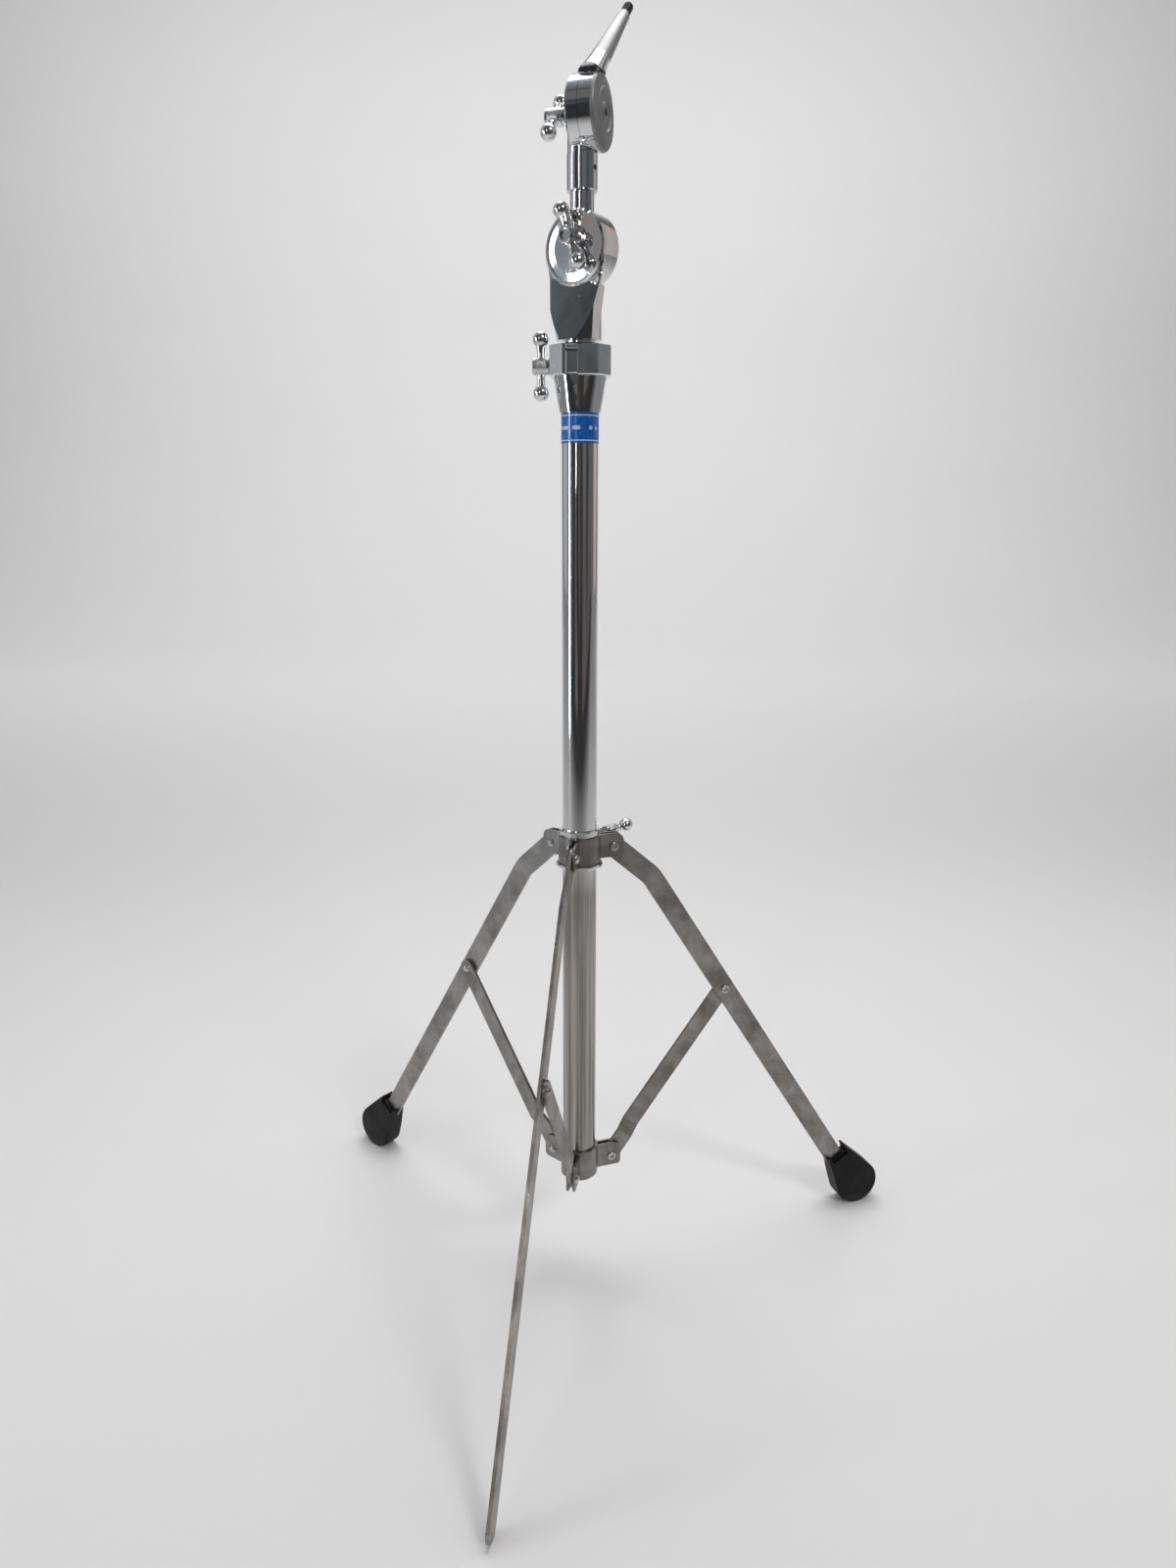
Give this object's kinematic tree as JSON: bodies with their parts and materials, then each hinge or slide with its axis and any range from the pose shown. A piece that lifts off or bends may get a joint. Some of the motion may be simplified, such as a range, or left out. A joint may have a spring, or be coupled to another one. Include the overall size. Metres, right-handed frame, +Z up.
{
  "type": "cymbal boom stand",
  "caption": "Folding cymbal boom stand: flat-bar tripod, height-adjustable chromed upright, boom tilter, and a cymbal tilter with a tapered stem.",
  "frame": {"origin": "the floor point on the upright tube's axis, with the tripod open", "axes": "+Z up along the upright tube, +X to the right seen from the front, +Y to the back; the front leg points to -Y and slightly to -X"},
  "size_m": [0.5616, 0.5328, 1.0983],
  "materials": {
    "chrome": "polished chrome plate on steel and cast zinc",
    "bracket_steel": "dull nickel plate on pressed steel",
    "leg_steel": "satin nickel plate on flat bar, lightly mottled",
    "fastener_steel": "bright zinc plate",
    "foot_rubber": "matt moulded rubber",
    "label_print": "glossy printed film",
    "nylon": "moulded nylon",
    "pad_brass": "turned brass"
  },
  "bodies": {
    "base": {"base_tube": "chrome", "label_band": "label_print", "lower_bracket": "bracket_steel", "bracket_screw": "fastener_steel", "lower_rivets": "fastener_steel", "tube_plug": "nylon", "height_collar": "chrome", "collar_key": "chrome", "collar_bush": "nylon", "collar_pad": "pad_brass"},
    "leg_collar": {"leg_collar_sleeve": "chrome", "leg_collar_band": "bracket_steel", "leg_collar_boss": "bracket_steel", "leg_collar_pad": "pad_brass", "upper_rivets": "fastener_steel"},
    "leg_wing_bolt": {"leg_bolt": "chrome", "leg_bolt_bar": "chrome"},
    "height_wing_bolt": {"height_bolt": "chrome", "height_bolt_bar": "chrome"},
    "leg_front_link": {"leg_front": "leg_steel", "mid_rivet_front": "fastener_steel"},
    "leg_right_link": {"leg_right": "leg_steel", "mid_rivet_right": "fastener_steel", "foot_right": "foot_rubber"},
    "leg_left_link": {"leg_left": "leg_steel", "mid_rivet_left": "fastener_steel", "foot_left": "foot_rubber"},
    "brace_front_link": {"brace_front": "leg_steel"},
    "brace_right_link": {"brace_right": "leg_steel"},
    "brace_left_link": {"brace_left": "leg_steel"},
    "post_slider": {"post_guide": "nylon"},
    "post": {"post_tube": "chrome", "boom_tilter_base": "chrome", "boom_base_screw": "fastener_steel", "boom_face_disc": "chrome"},
    "boom_wing_bolt": {"boom_bolt": "chrome", "boom_bolt_bar": "chrome"},
    "boom": {"boom_tilter_head": "chrome", "boom_liner": "nylon", "boom_nut": "fastener_steel", "arm_screw": "fastener_steel", "arm_tube": "chrome", "arm_sleeve": "chrome", "sleeve_screw": "fastener_steel", "cymbal_tilter_base": "chrome", "cymbal_liner": "nylon"},
    "cymbal_wing_bolt": {"cymbal_bolt": "chrome", "cymbal_bolt_bar": "chrome"},
    "cymbal_arm": {"cymbal_tilter_head": "chrome", "cymbal_cap": "chrome", "cymbal_nut": "fastener_steel", "cymbal_stem": "chrome", "stem_thread": "fastener_steel"}
  },
  "joints": [
    {"name": "leg_collar_slide", "type": "slide", "parent": "base", "child": "leg_collar", "axis": [0, 0, 1], "range_m": [0, 0.07167]},
    {"name": "post_height", "type": "slide", "parent": "base", "child": "post_slider", "axis": [0, 0, 1], "range_m": [0, 0.3]},
    {"name": "post_swivel", "type": "hinge", "parent": "post_slider", "child": "post", "pos_m": [0, 0, 0.42], "axis": [0, 0, 1], "continuous": true},
    {"name": "boom_tilt", "type": "hinge", "parent": "post", "child": "boom", "pos_m": [0.0018, -0.00126, 0.9041], "axis": [-0.5736, -0.8192, 0], "range_deg": [-90, 90]},
    {"name": "cymbal_tilt", "type": "hinge", "parent": "boom", "child": "cymbal_arm", "pos_m": [0.00143, 0.00535, 0.9926], "axis": [0.9455, -0.3256, 0], "range_deg": [-40, 120]},
    {"name": "leg_front_fold", "type": "hinge", "parent": "leg_collar", "child": "leg_front_link", "pos_m": [-0.00623, -0.03037, 0.4145], "axis": [0.9796, -0.2011, 0], "range_deg": [0, 27.8]},
    {"name": "brace_front_fold", "type": "hinge", "parent": "leg_front_link", "child": "brace_front_link", "pos_m": [-0.02936, -0.14302, 0.2605], "axis": [0.9796, -0.2011, 0], "range_deg": [-55.6, 0]},
    {"name": "leg_right_fold", "type": "hinge", "parent": "leg_collar", "child": "leg_right_link", "pos_m": [0.02942, 0.00979, 0.4145], "axis": [-0.3156, 0.9489, 0], "range_deg": [0, 27.8]},
    {"name": "brace_right_fold", "type": "hinge", "parent": "leg_right_link", "child": "brace_right_link", "pos_m": [0.13854, 0.04609, 0.2605], "axis": [-0.3156, 0.9489, 0], "range_deg": [-55.6, 0]},
    {"name": "leg_left_fold", "type": "hinge", "parent": "leg_collar", "child": "leg_left_link", "pos_m": [-0.02318, 0.02058, 0.4145], "axis": [-0.6639, -0.7478, 0], "range_deg": [0, 27.8]},
    {"name": "brace_left_fold", "type": "hinge", "parent": "leg_left_link", "child": "brace_left_link", "pos_m": [-0.10918, 0.09693, 0.2605], "axis": [-0.6639, -0.7478, 0], "range_deg": [-55.6, 0]},
    {"name": "leg_bolt_turn", "type": "hinge", "parent": "leg_collar", "child": "leg_wing_bolt", "pos_m": [0, 0, 0.419], "axis": [0.6018, 0.7986, 0], "range_deg": [0, 360]},
    {"name": "height_bolt_turn", "type": "hinge", "parent": "base", "child": "height_wing_bolt", "pos_m": [0, 0, 0.8126], "axis": [-1, 0, 0], "range_deg": [0, 360]},
    {"name": "boom_bolt_turn", "type": "hinge", "parent": "post", "child": "boom_wing_bolt", "pos_m": [0.0018, -0.00126, 0.9041], "axis": [-0.5736, -0.8192, 0], "range_deg": [0, 360]},
    {"name": "cymbal_bolt_turn", "type": "hinge", "parent": "boom", "child": "cymbal_wing_bolt", "pos_m": [0.00143, 0.00535, 0.9926], "axis": [-0.9455, 0.3256, 0], "range_deg": [0, 360]}
  ],
  "couplings": [
    {"joint": "leg_front_fold", "follows": "leg_collar_slide", "rad_per_m": 6.7581},
    {"joint": "brace_front_fold", "follows": "leg_collar_slide", "rad_per_m": -13.516},
    {"joint": "leg_right_fold", "follows": "leg_collar_slide", "rad_per_m": 6.7581},
    {"joint": "brace_right_fold", "follows": "leg_collar_slide", "rad_per_m": -13.516},
    {"joint": "leg_left_fold", "follows": "leg_collar_slide", "rad_per_m": 6.7581},
    {"joint": "brace_left_fold", "follows": "leg_collar_slide", "rad_per_m": -13.516}
  ]
}
